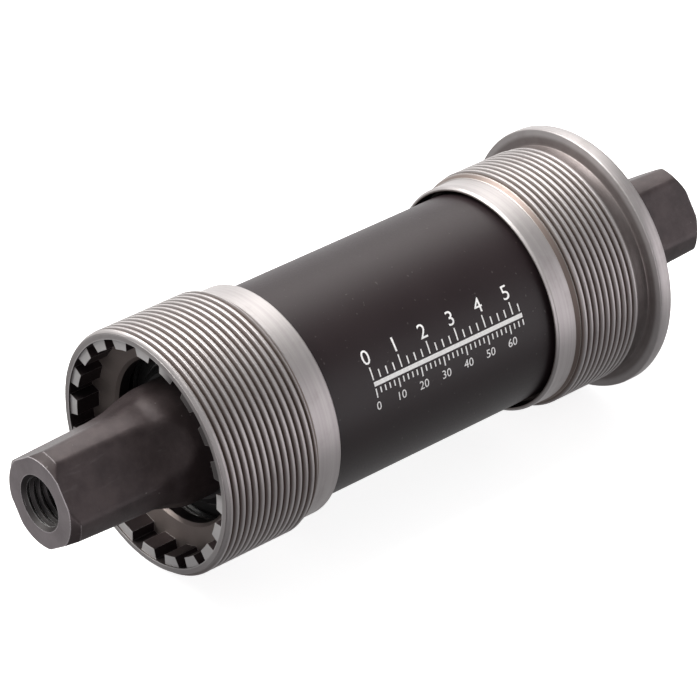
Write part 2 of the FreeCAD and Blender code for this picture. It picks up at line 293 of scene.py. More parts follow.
def cupSteel(name, threaded):
    # satin plated steel, with painted shade: brown below a thread's crest, black on a socket's walls
    graph = materialGraph(name)
    place = graph.objectPlace()
    x, y, z = graph.split(place)
    radius = (x * x + z * z).root()
    lathed = graph.noise(graph.stretched(place, (40.0, 2600.0, 40.0)), 1.0, 3.0)
    blotch = graph.noise(place, 260.0, 5.0)
    grain = graph.noise(place, 5200.0, 2.0)
    edge = graph.edges(0.00016, 0.015, 0.12)
    stain = blotch.above(0.5, 0.72) * 0.35
    colour = graph.mix(stain, steelLook["smooth"], steelLook["stain"])
    colour = graph.mix((lathed - 0.5) * 0.7 + 0.10, colour, steelLook["worn"])
    if threaded:
        # the painted shade in the thread's grooves stops past the loose cup's last groove, so the rim
        # stays bright
        grooveShade = 1.0 - radius.above(*inMetres(steelLook["threadDepth"]))
        grooveShade = grooveShade * (1.0 - y.above(*inMetres(steelLook["grooveShadeEnd"])))
        colour = graph.mix(grooveShade * 0.9, colour, steelLook["root"])
    else:
        inside = 1.0 - radius.above(*inMetres(steelLook["socketWall"]))
        normal = graph.add("ShaderNodeNewGeometry").out("True Normal")
        facing = graph.split(normal)[1].size()
        depth = steelLook["socketFace"] * mm - y.size()
        ledge = depth.above(*inMetres(steelLook["ledgeDepth"]))
        colour = graph.mix(inside * ledge * 0.9, colour, steelLook["ledge"])
        # painted shade on the socket's sideways-facing walls
        colour = graph.mix(inside * (1.0 - facing.above(0.3, 0.75)), colour, steelLook["socketWallShade"])
        shallow = 1.0 - depth.above(*inMetres(steelLook["rubbedDepth"]))
        front = inside * facing.above(0.75, 0.95) * shallow
        colour = graph.mix(front * (0.35 + blotch * 0.5), colour, steelLook["rubbed"])
        # painted shade: the teeth on one side of the loose cup's socket are darkened as if in shadow
        side = math.radians(steelLook["socketShadeAngle"])
        toward = (x * math.cos(side) + z * math.sin(side)) / radius
        socketSideShade = inside * toward.above(0.78, 0.90) * y.above(*inMetres(steelLook["looseSide"]))
        colour = graph.mix(socketSideShade * 0.85, colour, steelLook["socketSideShade"])
        # painted shade in the groove behind the drive side's flange
        behind = y.above(*inMetres(steelLook["reliefStart"]))
        behind = behind * (1.0 - y.above(*inMetres(steelLook["reliefEnd"])))
        groove = behind * (1.0 - radius.above(*inMetres(steelLook["reliefOutside"])))
        groove = groove * radius.above(*inMetres(steelLook["reliefInside"]))
        colour = graph.mix(groove * (0.55 + blotch * 0.4), colour, steelLook["relief"])
    colour = graph.mix(edge * 0.5, colour, steelLook["worn"])
    height = lathed * 0.6 + grain * 0.4
    return graph.finish({
        "Base Color": colour,
        "Metallic": steelLook["metallic"],
        "Roughness": steelLook["roughness"] + (blotch - 0.5) * 0.16 + (grain - 0.5) * 0.14,
        "Normal": graph.bump(height, 0.25, 0.00006),
    })


spindleLook = {
    "base": (0.033, 0.0235, 0.0245, 1.0),
    "dusty": (0.060, 0.045, 0.046, 1.0),
    "bare": (0.24, 0.215, 0.225, 1.0),
    "rubbed": (0.68, 0.64, 0.66, 1.0),
    "speck": (0.30, 0.28, 0.27, 1.0),
    "roughness": 0.46,
    "metallic": 0.40,
    "bareEnd": (55.4, 55.6),                # y in mm, from where worn corners turn bright
    "endFace": (56.42, 56.47),
}


def phosphatedSteel():
    graph = materialGraph("phosphatedSteel")
    place = graph.objectPlace()
    x, y, z = graph.split(place)
    cloud = graph.noise(place, 190.0, 6.0, 0.62)
    fine = graph.noise(place, 2600.0, 4.0, 0.6)
    scuffs = graph.noise(graph.stretched(place, (900.0, 160.0, 900.0)), 1.0, 5.0)
    specks = graph.noise(place, 1500.0, 1.0).above(0.76, 0.82)
    # the end face is bare, and its outline rubbed bright
    edge = graph.edges(0.00030, 0.01, 0.10)
    atEnd = y.size().above(*inMetres(spindleLook["bareEnd"]))
    tip = y.size().above(*inMetres(spindleLook["endFace"]))
    colour = graph.mix(cloud.above(0.35, 0.7), spindleLook["base"], spindleLook["dusty"])
    colour = graph.mix(scuffs.above(0.60, 0.85) * 0.20, colour, spindleLook["bare"])
    colour = graph.mix(specks * 0.35, colour, spindleLook["speck"])
    colour = graph.mix(edge * (0.15 + fine * 0.3), colour, spindleLook["bare"])
    colour = graph.mix(tip * (0.35 + cloud * 0.8), colour, spindleLook["bare"])
    colour = graph.mix(edge * atEnd * (0.45 + fine * 0.5), colour, spindleLook["rubbed"])
    height = fine * 0.7 + cloud * 0.3
    return graph.finish({
        "Base Color": colour,
        "Metallic": spindleLook["metallic"],
        "Roughness": spindleLook["roughness"] + (fine - 0.5) * 0.25 + (cloud - 0.5) * 0.15,
        "Normal": graph.bump(height, 0.30, 0.00008),
    })


lacquerLook = {
    "dark": (0.0125, 0.0072, 0.0086, 1.0),
    "light": (0.0185, 0.0115, 0.0130, 1.0),
    "dust": (0.25, 0.23, 0.22, 1.0),
    "edge": (0.12, 0.11, 0.105, 1.0),
    "roughness": 0.44,
    "specular": 0.28,
}


def blackLacquer():
    graph = materialGraph("blackLacquer")
    place = graph.objectPlace()
    cloud = graph.noise(place, 120.0, 5.0)
    fine = graph.noise(place, 3800.0, 3.0)
    dust = graph.noise(place, 2100.0, 0.0).above(0.80, 0.86)
    edge = graph.edges(0.00025, 0.03, 0.25)
    colour = graph.mix(cloud, lacquerLook["dark"], lacquerLook["light"])
    colour = graph.mix(dust * 0.12, colour, lacquerLook["dust"])
    colour = graph.mix(edge * 0.25, colour, lacquerLook["edge"])
    return graph.finish({
        "Base Color": colour,
        "Metallic": 0.0,
        "Specular IOR Level": lacquerLook["specular"],
        "Roughness": lacquerLook["roughness"] + (fine - 0.5) * 0.16 + (cloud - 0.5) * 0.1,
        "Normal": graph.bump(fine, 0.12, 0.00004),
    })


inkLook = {
    "thin": (0.82, 0.81, 0.80, 1.0),
    "full": (0.97, 0.97, 0.96, 1.0),
    "roughness": 0.5,
}


def printInk():
    graph = materialGraph("printInk")
    place = graph.objectPlace()
    fine = graph.noise(place, 3200.0, 4.0)
    colour = graph.mix(fine.above(0.3, 0.75), inkLook["thin"], inkLook["full"])
    return graph.finish({
        "Base Color": colour,
        "Roughness": inkLook["roughness"] + (fine - 0.5) * 0.2,
        "Normal": graph.bump(fine, 0.1, 0.00003),
    })


metalLooks = {
    # dark, light, roughness, metallic
    # the thread's root, darkened as painted shade in the grooves
    "threadRootShade": ((0.17, 0.145, 0.13, 1.0), (0.27, 0.24, 0.22, 1.0), 0.5, 0.75),
    "holeThread": ((0.008, 0.006, 0.006, 1.0), (0.030, 0.024, 0.025, 1.0), 0.55, 0.3),
    "ringSteel": (grey(0.42), grey(0.62), 0.22, 1.0),
    "ballSteel": (grey(0.66), grey(0.8), 0.07, 1.0),
    "sleeveSteel": (grey(0.22), grey(0.38), 0.42, 1.0),
    "springSteel": ((0.016, 0.014, 0.014, 1.0), (0.035, 0.031, 0.030, 1.0), 0.5, 0.6),
}


def plainMetal(name):
    dark, light, roughness, metallic = metalLooks[name]
    graph = materialGraph(name)
    place = graph.objectPlace()
    turned = graph.noise(graph.stretched(place, (60.0, 3200.0, 60.0)), 1.0, 3.0)
    blotch = graph.noise(place, 420.0, 4.0)
    edge = graph.edges(0.00012, 0.02, 0.2)
    colour = graph.mix(blotch * 0.6 + turned * 0.4, dark, light)
    colour = graph.mix(edge * 0.4, colour, grey(0.85))
    return graph.finish({
        "Base Color": colour,
        "Metallic": metallic,
        "Roughness": roughness + (blotch - 0.5) * 0.12,
        "Normal": graph.bump(turned, 0.12, 0.00004),
    })


polymerLooks = {
    # dark, light, roughness
    "cageNylon": ((0.50, 0.44, 0.32, 1.0), (0.62, 0.56, 0.43, 1.0), 0.5),
    "sealRubber": ((0.008, 0.008, 0.009, 1.0), (0.022, 0.021, 0.021, 1.0), 0.5),
}


def mouldedPolymer(name):
    dark, light, roughness = polymerLooks[name]
    graph = materialGraph(name)
    place = graph.objectPlace()
    cloud = graph.noise(place, 700.0, 4.0)
    fine = graph.noise(place, 5200.0, 3.0)
    colour = graph.mix(cloud, dark, light)
    return graph.finish({
        "Base Color": colour,
        "Roughness": roughness + (fine - 0.5) * 0.2,
        "Normal": graph.bump(fine, 0.2, 0.00004),
    })


cupSmooth = cupSteel("cupSmooth", False)
cupThread = cupSteel("cupThread", True)
threadRootShade = plainMetal("threadRootShade")
spindleSteel = phosphatedSteel()
holeThread = plainMetal("holeThread")
shellBlack = blackLacquer()
whiteInk = printInk()
ringSteel = plainMetal("ringSteel")
ballSteel = plainMetal("ballSteel")
sleeveSteel = plainMetal("sleeveSteel")
springSteel = plainMetal("springSteel")
cageNylon = mouldedPolymer("cageNylon")
sealRubber = mouldedPolymer("sealRubber")
print("materials made")


cupSizes = {
    "teeth": 20,
    "toothTipAngle": 4.5,     # degrees, half of a tooth at its tip
    "toothRootAngle": 5.5,
    "tipRadius": 14.65,
    "rootRadius": 16.1,
    "rimDrop": 0.3,           # how far the teeth stand back from the rim
    "socketDepth": 4.0,
    "webHole": 11.65,
    "webDish": 0.6,
    "webChamfer": 0.45,
    "webThickness": 2.6,
    "webCorner": (0.45, 0.1),               # in from the teeth's tips, down from their foot
    "pilotRadius": 16.6,
    "edge": 0.3,
    "bevel": 0.075,
}
threadSizes = {
    "pitch": 25.4 / 24,
    "depth": 0.62,
    "halfWidths": (0.47, 0.31, 0.20, 0.12),
    "heights": (-0.03, 0.50, 0.92, 1.0),    # shares of the depth at those half widths
    "steps": 160,             # points in one turn
    "runIn": 0.2,             # of a turn, over which the ridge rises from nothing
    "thinnest": 0.02,         # share of its height that the ridge starts from
    "relief": 0.3,            # length of the slope from the root down to the pilot
    "lead": 1.0,              # length over which the envelope reaches the crest
    "sink": 0.1,              # how far the ridge's foot reaches into the pilot
    "pilotSink": 0.05,        # the envelope ends this far below the pilot
    "overrun": 0.45,          # of ridge past the pilot, for the envelope to trim
}
nonDriveCupSizes = {
    "pilotLength": 4.0,
    "lip": ((0.55, 0.0), (0.5, 0.05)),      # in from the crest, back from the face
    "lipDepth": 0.2,
    "slide": 0.08,            # clearance round the tube
    "rimTaper": (0.3, 0.45),  # length and drop of the envelope at the face
    "rimStop": 0.02,          # the ridge stops this far short of the face
    "overrun": 0.4,
}
driveSideCupSizes = {
    "flange": 2.4,
    "pilotLength": 3.4,
    "front": ((0.8, 0.0), (0.25, 0.2), (0.0, 0.75)),      # in from the rim, back from the face
    "back": ((0.0, 0.3), (0.08, 0.08), (0.3, 0.0)),       # in from the rim, short of the seat
    "relief": ((17.5, 0.0), (17.0, 0.2), (16.75, 0.7), (16.75, 1.9)),   # radius, past the seat
    "rise": 0.1,              # from the relief up to the thread's root
    "mouth": ((16.05, 0.0), (16.0, 0.15), (16.0, 2.5)),   # radius, in from the mouth
    "pressDepth": 2.8,
    "press": 0.02,            # gap left where the tube is pressed in
    "start": (0.3, 0.25),     # length and lowest height of the envelope past the relief
    "startStop": 0.05,        # the ridge may reach this far over the relief
}


def helix(name, section, pitch, turns, start, hand, limit, stops, steps, material):
    # a thread's ridge: section of (y offset, radius) drawn round a helix, cut off at stops
    places = []
    count = int(turns * steps)
    runIn = threadSizes["runIn"] * steps
    base = section[0][1]
    for index in range(count + 1):
        angle = 2 * math.pi * index / steps
        travel = start + pitch * index / steps
        fade = max(min(1.0, index / runIn, (count - index) / runIn), threadSizes["thinnest"])
        for offset, radius in section:
            along = min(max(travel + offset, stops[0]), stops[1])
            height = (radius - base) * fade
            places.append(around(limit(along, base + height) * mm, along * mm, -hand * angle))
    width = len(section)
    faces = []
    for index in range(count):
        for point in range(width):
            following = (point + 1) % width
            faces.append((index * width + point, index * width + following,
                          (index + 1) * width + following, (index + 1) * width + point))
    faces.append(tuple(range(width)))
    faces.append(tuple(count * width + point for point in reversed(range(width))))
    piece = makePiece(name, places, faces, [material])
    cleanMesh(piece, 0.0005 * mm)
    return piece


def toothedAngles():
    tip = math.radians(cupSizes["toothTipAngle"])
    root = math.radians(cupSizes["toothRootAngle"])
    pitch = 2 * math.pi / cupSizes["teeth"]
    gap = pitch - 2 * root
    offsets = [(-tip, False), (-tip / 3, False), (tip / 3, False), (tip, False)]
    offsets += [(root + gap * step / 4, True) for step in range(5)]
    angles = []
    for tooth in range(cupSizes["teeth"]):
        for offset, notch in offsets:
            angles.append((tooth * pitch + offset, notch))
    return angles


def socketRings(face, side):
    # from the tube's seat out to the rim; side is +1 where the socket opens to +Y
    sizes = cupSizes
    front = face - side * sizes["rimDrop"]
    shoulder = face - side * sizes["socketDepth"]
    dish = shoulder - side * sizes["webDish"]
    tip, root, hole = sizes["tipRadius"], sizes["rootRadius"], sizes["webHole"]
    cornerIn, cornerDown = sizes["webCorner"]
    return [
        (hole, face - side * (sizes["socketDepth"] + sizes["webThickness"])),
        (hole, dish - side * sizes["webChamfer"]),
        (hole + sizes["webChamfer"], dish),
        (tip - cornerIn, shoulder - side * cornerDown),
        (tip, shoulder, root, shoulder),
        (tip, front, root, front),
        (root, front),
        (root, face),
    ]


def threadLimit(ends):
    # ends are (y, radius) corners of the envelope that trims the ridge
    def limit(along, radius):
        for (firstY, firstRadius), (lastY, lastRadius) in zip(ends, ends[1:]):
            if firstY <= along <= lastY:
                share = (along - firstY) / (lastY - firstY)
                return min(radius, firstRadius + share * (lastRadius - firstRadius))
        return min(radius, ends[0][1] if along < ends[0][0] else ends[-1][1])
    return limit


def threadRidge(name, low, high, crest, hand, limit, stops):
    sizes = threadSizes
    foot = sizes["halfWidths"][0]
    flank = [(-half, crest - sizes["depth"] * (1 - height))
             for half, height in zip(sizes["halfWidths"], sizes["heights"])]
    section = flank + [(-offset, radius) for offset, radius in flank[::-1]]
    turns = (high - low - 2 * foot) / sizes["pitch"]
    return helix(name, section, sizes["pitch"], turns, low + foot, hand, limit, stops,
                 sizes["steps"], cupThread)


def cupPiece(name, rings, rootStart):
    # one band of the outline, from rootStart on, is the thread's root, darkened as painted shade
    ringMaterial = [1 if ring == rootStart else 0 for ring in rings]
    cup = lathe(name, rings, toothedAngles(), [cupSmooth, threadRootShade], ringMaterial)
    bevelled(cup, cupSizes["bevel"] * mm)
    return cup


def nonDriveCup():
    sizes = nonDriveCupSizes
    low, high = mmBox("non_drive_cup")
    face, mouth, crest = high.y, low.y, high.x
    tube = mmBox("cartridge_shell")[1].x
    pilot, edge = cupSizes["pilotRadius"], cupSizes["edge"]
    root = crest - threadSizes["depth"]
    threadStart = mouth + sizes["pilotLength"]
    rootStart = (root, face - sizes["lipDepth"])
    rings = socketRings(face, 1)
    rings += [(crest - inward, face - back) for inward, back in sizes["lip"]]
    rings += [
        rootStart,
        (root, threadStart + threadSizes["relief"]),
        (pilot, threadStart),
        (pilot, mouth + edge),
        (pilot - edge, mouth),
        (tube + edge, mouth),
        (tube + sizes["slide"], mouth + edge),
        (tube + sizes["slide"], face - cupSizes["socketDepth"] - cupSizes["webThickness"]),
    ]
    cup = cupPiece("nonDriveCup", rings, rootStart)
    foot = threadStart - threadSizes["sink"]
    taperLength, taperDrop = sizes["rimTaper"]
    ends = [(foot, pilot - threadSizes["pilotSink"]), (threadStart + threadSizes["lead"], crest),
            (face - taperLength, crest), (face, crest - taperDrop)]
    ridge = threadRidge("nonDriveCupThread", threadStart - threadSizes["overrun"],
                        face + sizes["overrun"], crest, 1, threadLimit(ends),
                        (foot, face - sizes["rimStop"]))
    return cup, ridge


def driveSideCup():
    sizes = driveSideCupSizes
    low, high = mmBox("drive_side_cup")
    face, mouth, rim = low.y, high.y, high.x
    crest = mmBox("non_drive_cup")[1].x
    seat = face + sizes["flange"]
    tube = mmBox("cartridge_shell")[1].x
    pilot, edge = cupSizes["pilotRadius"], cupSizes["edge"]
    root = crest - threadSizes["depth"]
    threadStart = mouth - sizes["pilotLength"]
    threadEnd = seat + sizes["relief"][-1][1]
    rootStart = (root, threadEnd + sizes["rise"])
    rings = socketRings(face, -1)
    rings += [(rim - inward, face + back) for inward, back in sizes["front"]]
    rings += [(rim - inward, seat - short) for inward, short in sizes["back"]]
    rings += [(radius, seat + past) for radius, past in sizes["relief"]]
    rings += [
        rootStart,
        (root, threadStart - threadSizes["relief"]),
        (pilot, threadStart),
        (pilot, mouth - edge),
        (pilot - edge, mouth),
    ]
    rings += [(radius, mouth - inward) for radius, inward in sizes["mouth"]]
    rings += [
        (tube + sizes["press"], mouth - sizes["pressDepth"]),
        (tube + sizes["press"], face + cupSizes["socketDepth"] + cupSizes["webThickness"]),
    ]
    cup = cupPiece("driveSideCup", rings, rootStart)
    foot = threadStart + threadSizes["sink"]
    startLength, startHeight = sizes["start"]
    ends = [(threadEnd, root + startHeight), (threadEnd + startLength, crest),
            (threadStart - threadSizes["lead"], crest), (foot, pilot - threadSizes["pilotSink"])]
    ridge = threadRidge("driveSideCupThread", threadEnd - sizes["rise"],
                        threadStart + threadSizes["overrun"], crest, -1, threadLimit(ends),
                        (threadEnd - sizes["startStop"], foot))
    return cup, ridge


cup, ridge = nonDriveCup()
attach(cup, "loose_cup")
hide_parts("non_drive_cup")
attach(ridge, "loose_cup")
cup, ridge = driveSideCup()
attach(cup, "housing")
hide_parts("drive_side_cup")
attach(ridge, "housing")
print("cups made")


spindleSizes = {
    "halfFlats": 6.25,        # at the very end
    "slope": 0.0349,
    "flatLength": 12.0,
    "runOut": 18.0,           # radius of the cutter's run-out
    "cornerAngle": 10.0,      # degrees from +X towards +Z, to one corner of the square
    "faceRadius": 6.5,        # wider than the flats, so only the corners are chamfered
    "chamferDepth": 1.0,
    "cornerRadius": 7.55,
    "cornerRoot": 7.95,
    "cornerLength": 15.5,
    "blend": 3.0,
    "seatRadius": 8.48,
    "waistRadius": 8.2,
    "softness": 0.30,         # reach of the blend between a flat and a round corner
    "softnessRise": (0.2, 0.6),             # share of it at the very end, length to the whole of it
    "chamferRows": 20,
    "cornerRows": (1.08, 1.2, 1.4),         # mm in from the end, where the corner turns
    "taperRows": (2.0, 1.0, 10),            # first, step and count, down the taper
    "runOutRows": (0.35, 24),               # step and count, from the end of the flats
    "seatRows": (21.0, 25.2),
    "waistFrom": 33.0,
    "waistSlope": 0.4,
    "mouthRadius": 4.0,
    "mouthDepth": 0.6,
    "mouthStep": (0.08, 0.3),               # out from the thread's crest, and length down to its root
    "holeRadius": 3.82,
    "holeCrest": 3.40,
    "holeDepth": 25.0,
    "drillPoint": (0.3, 2.0),               # radius and length of the hole's blind end
    "steps": 256,
}
boltThreadSizes = {
    "pitch": 1.0,
    "turns": 21.1,
    "footHalf": 0.46,
    "crestHalf": 0.1,
    "footGap": 0.02,          # the foot stands this far inside the wall
    "startLeft": -21.7,       # along Y from each end of the spindle to the thread's start
    "startRight": 0.7,
    "steps": 64,
}


def flatDistance(inward):
    # half the width across flats, at a distance in from the spindle's end
    sizes = spindleSizes
    length = min(inward, sizes["flatLength"])
    distance = sizes["halfFlats"] + sizes["slope"] * length
    past = inward - sizes["flatLength"]
    if past <= 0:
        return distance
    if past >= sizes["runOut"]:
        return distance + sizes["runOut"]
    return distance + sizes["runOut"] - math.sqrt(sizes["runOut"] ** 2 - past ** 2)


def roundRadius(inward):
    sizes = spindleSizes
    if inward < sizes["chamferDepth"]:
        share = inward / sizes["chamferDepth"]
        return sizes["faceRadius"] + share * (sizes["cornerRadius"] - sizes["faceRadius"])
    if inward < sizes["cornerLength"]:
        share = (inward - sizes["chamferDepth"]) / (sizes["cornerLength"] - sizes["chamferDepth"])
        return sizes["cornerRadius"] + share * (sizes["cornerRoot"] - sizes["cornerRadius"])
    share = min(1.0, (inward - sizes["cornerLength"]) / sizes["blend"])
    eased = share * share * (3 - 2 * share)
    return sizes["cornerRoot"] + eased * (sizes["seatRadius"] - sizes["cornerRoot"])


def softLower(first, second, reach):
    overlap = max(reach - abs(first - second), 0.0)
    return min(first, second) - overlap * overlap / (4 * reach)


def spindleRadius(inward, angle):
    # the distance from the axis to the flat or the round corner, whichever is nearer
    turn = (angle - math.radians(spindleSizes["cornerAngle"])) % (math.pi / 2) - math.pi / 4
    flat = flatDistance(inward) / math.cos(turn)
    share, length = spindleSizes["softnessRise"]
    reach = spindleSizes["softness"] * min(1.0, share + inward / length)
    return softLower(roundRadius(inward), flat, reach)


def spindleInwards():
    # how far in from the end each ring of points stands, close together where the outline turns
    sizes = spindleSizes
    first, taperStep, taperCount = sizes["taperRows"]
    runOutStep, runOutCount = sizes["runOutRows"]
    inwards = [sizes["chamferDepth"] * step / sizes["chamferRows"]
               for step in range(sizes["chamferRows"] + 1)]
    inwards += sizes["cornerRows"]
    inwards += [first + taperStep * step for step in range(taperCount)]
    inwards += [sizes["flatLength"] + runOutStep * step for step in range(runOutCount)]
    inwards += sizes["seatRows"]
    return inwards


def boltHole(end):
    # (radius, y) from the blind end out to the mouth
    sizes = spindleSizes
    stepOut, stepLength = sizes["mouthStep"]
    pointRadius, pointLength = sizes["drillPoint"]
    stepStart = end - sizes["mouthDepth"]
    bottom = end - sizes["holeDepth"]
    return [
        (pointRadius, bottom - pointLength),
        (sizes["holeRadius"], bottom),
        (sizes["holeRadius"], stepStart - stepLength),
        (sizes["holeCrest"] + stepOut, stepStart),
        (sizes["mouthRadius"], end),
    ]


def spindlePiece():
    # rows of radii from one hole's blind end, out over the mouth, and in along the taper
    sizes = spindleSizes
    end = mmBox("spindle")[1].y
    steps = sizes["steps"]
    hole = boltHole(end)
    waist = [(sizes["seatRadius"], end - sizes["waistFrom"]),
             (sizes["waistRadius"], end - sizes["waistFrom"] - sizes["waistSlope"])]
    inwards = spindleInwards()
    tapers = [[spindleRadius(inward, 2 * math.pi * step / steps) for step in range(steps)]
              for inward in inwards]
    rows = [[radius] * steps for radius, height in hole] + tapers
    rows += [[radius] * steps for radius, height in waist]
    heights = [height for radius, height in hole] + [end - inward for inward in inwards]
    heights += [height for radius, height in waist]
    rows += rows[::-1]
    heights += [-height for height in heights[::-1]]
    places = []
    for row, height in zip(rows, heights):
        for step, radius in enumerate(row):
            places.append(around(radius * mm, height * mm, 2 * math.pi * step / steps))
    faces = []
    faceMaterial = []
    for index in range(len(rows) - 1):
        nearRow, farRow = index * steps, (index + 1) * steps
        for step in range(steps):
            following = (step + 1) % steps
            faces.append((nearRow + step, nearRow + following, farRow + following, farRow + step))
        inHole = index < len(hole) - 1 or index >= len(rows) - len(hole)
        faceMaterial += [1 if inHole else 0] * steps
    last = (len(rows) - 1) * steps
    faces.append(tuple(range(steps)))
    faces.append(tuple(last + step for step in range(steps)))
    piece = makePiece("taperSpindle", places, faces, [spindleSteel, holeThread], faceMaterial + [1, 1])
    cleanMesh(piece, 0.001 * mm)
    return piece


def holeRidge(name, end, start):
    sizes = boltThreadSizes
    foot = spindleSizes["holeRadius"] + sizes["footGap"]
    crest = spindleSizes["holeCrest"]
    section = [
        (-sizes["footHalf"], foot),
        (-sizes["crestHalf"], crest),
        (sizes["crestHalf"], crest),
        (sizes["footHalf"], foot),
    ]
    return helix(name, section, sizes["pitch"], sizes["turns"], end + start, 1,
                 lambda along, radius: radius, (-abs(end), abs(end)), sizes["steps"], holeThread)


axle = spindlePiece()
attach(axle, "axle")
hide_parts("spindle")
spindleEnd = mmBox("spindle")[1].y
for name, end, start in (("boltThreadLeft", spindleEnd, boltThreadSizes["startLeft"]),
                         ("boltThreadRight", -spindleEnd, boltThreadSizes["startRight"])):
    ridge = holeRidge(name, end, start)
    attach(ridge, "axle")
print("spindle made")


shellSizes = {
    "steps": 256,
    "edge": 0.3,
    "bevel": 0.05,
    "bore": 14.0,
    "groove": (0.4, 1.4),     # in from each end, for the retaining ring
    "grooveRadius": 14.55,
    "bearingDepth": 8.4,
    "middleBore": 13.2,
}


def shellTube():
    sizes = shellSizes
    low, high = mmBox("cartridge_shell")
    outside, edge = high.x, sizes["edge"]
    grooveStart, grooveEnd = sizes["groove"]
    # one end's bore, as radius and distance in from the end
    bore = [
        (sizes["bore"], 0.0),
        (sizes["bore"], grooveStart),
        (sizes["grooveRadius"], grooveStart),
        (sizes["grooveRadius"], grooveEnd),
        (sizes["bore"], grooveEnd),
        (sizes["bore"], sizes["bearingDepth"]),
        (sizes["middleBore"], sizes["bearingDepth"]),
    ]
    rings = [
        (outside - edge, low.y),
        (outside, low.y + edge),
        (outside, high.y - edge),
        (outside - edge, high.y),
    ]
    rings += [(radius, high.y - inward) for radius, inward in bore]
    rings += [(radius, low.y + inward) for radius, inward in bore[::-1]]
    return lathe("shellTube", rings, plainAngles(sizes["steps"]), [shellBlack])


tube = shellTube()
bevelled(tube, shellSizes["bevel"] * mm)
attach(tube, "housing")
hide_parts("cartridge_shell")
print("tube made")


markSizes = {
    "lift": 0.012,            # above the tube
    "thickness": 0.02,
    "ruleFrom": 11.7,
    "ruleTo": -14.9,
    "ruleAngle": 156.6,       # degrees round the tube from +X towards +Z
    "ruleWidth": 0.62,
    "tickFrom": 0.6,          # up or down from the middle of the rule
    "tickWidth": 0.2,
    "longTick": 1.6,          # times the plain tick's height
    "barLength": 0.5,         # bars go round the tube in pieces of about this length
    "longestEdge": 0.7,       # longer edges are divided to follow the tube
}
scaleSizes = {
    # the first tick of each group is longer and carries a number, counted up in units
    "coarse": {"step": 1.25, "height": 1.1, "side": 1, "group": 4, "numbers": 6, "unit": 1,
               "digitSize": 2.9, "digitUp": 2.8},
    "fine": {"step": 0.8, "height": 0.8, "side": -1, "group": 5, "numbers": 7, "unit": 10,
             "digitSize": 1.7, "digitUp": -3.6},
}


def wrapped(name, work):
    # flat x runs along the tube towards -Y, flat y goes up round it
    radius = mmBox("cartridge_shell")[1].x
    bmesh.ops.triangulate(work, faces=work.faces)
    longEdges = [edge for edge in work.edges if edge.calc_length() > markSizes["longestEdge"]]
    bmesh.ops.subdivide_edges(work, edges=longEdges, cuts=2)
    bmesh.ops.triangulate(work, faces=work.faces)
    bmesh.ops.remove_doubles(work, verts=work.verts, dist=0.0005)
    for vertex in work.verts:
        along, up, out = vertex.co
        angle = math.radians(markSizes["ruleAngle"]) - up / radius
        vertex.co = around((radius + out) * mm, along * mm, angle)
    mesh = bpy.data.meshes.new(name)
    work.to_mesh(mesh)
    work.free()
    mesh.materials.append(whiteInk)
    piece = placed(name, mesh)
    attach(piece, "housing")


def flatBar(work, left, right, bottom, top):
    # a thin plate in short lengths, so that it bends round the tube
    low, high = markSizes["lift"], markSizes["lift"] + markSizes["thickness"]
    pieces = max(1, int(abs(top - bottom) / markSizes["barLength"]))
    for part in range(pieces):
        start = bottom + (top - bottom) * part / pieces
        stop = bottom + (top - bottom) * (part + 1) / pieces
        corners = [work.verts.new((x, y, z)) for z in (low, high)
                   for x, y in ((left, start), (right, start), (right, stop), (left, stop))]
        for quad in ((3, 2, 1, 0), (4, 5, 6, 7), (0, 1, 5, 4), (1, 2, 6, 5), (2, 3, 7, 6), (3, 0, 4, 7)):
            work.faces.new([corners[index] for index in quad])


def printedRule():
    work = bmesh.new()
    half = markSizes["ruleWidth"] / 2
    flatBar(work, markSizes["ruleFrom"], markSizes["ruleTo"], -half, half)
    wrapped("printedRule", work)


def tickPlace(scale, tick):
    return markSizes["ruleFrom"] - markSizes["tickWidth"] / 2 - tick * scale["step"]


def printedScale(name, scale):
    # ticks above the rule (side 1) or below it (side -1)
    foot, half = markSizes["tickFrom"], markSizes["tickWidth"] / 2
    work = bmesh.new()
    count = int((markSizes["ruleFrom"] - markSizes["ruleTo"]) / scale["step"])
    for tick in range(count + 1):
        along = tickPlace(scale, tick)
        reach = scale["height"] * (markSizes["longTick"] if tick % scale["group"] == 0 else 1.0)
        bottom, top = sorted((scale["side"] * foot, scale["side"] * (foot + reach)))
        flatBar(work, along + half, along - half, bottom, top)
    wrapped(name, work)


def printedNumber(name, number, scale):
    curve = bpy.data.curves.new("number", "FONT")
    curve.body = str(number * scale["unit"])
    curve.size = scale["digitSize"]
    curve.align_x = "CENTER"
    curve.extrude = markSizes["thickness"] / 2
    curve.resolution_u = 3
    holder = placed("number", curve)
    seen = holder.evaluated_get(bpy.context.evaluated_depsgraph_get())
    work = bmesh.new()
    work.from_mesh(bpy.data.meshes.new_from_object(seen))
    bpy.data.objects.remove(holder)
    along = tickPlace(scale, number * scale["group"])
    middle = markSizes["lift"] + markSizes["thickness"] / 2
    for vertex in work.verts:
        x, y, z = vertex.co
        vertex.co = (along - x, scale["digitUp"] + y, z + middle)
    wrapped(name + curve.body, work)


printedRule()
for name, scale in scaleSizes.items():
    printedScale(name + "Scale", scale)
for name, scale in scaleSizes.items():
    for number in range(scale["numbers"]):
        printedNumber(name + "Number", number, scale)
print("printed marks made")


innerLooks = {
    "outer_ring": ringSteel,
    "inner_ring": ringSteel,
    "balls": ballSteel,
    "ball_cage": cageNylon,
    "outer_seal": sealRubber,
    "inner_seal": sealRubber,
    "retaining_ring": springSteel,
    "spindle_wiper": sealRubber,
    "spacer_sleeve": sleeveSteel,
}
for node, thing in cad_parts.items():
    for ending, material in innerLooks.items():
        if node.endswith(ending):
            thing.data.materials.clear()
            thing.data.materials.append(material)
print("inner pieces finished")


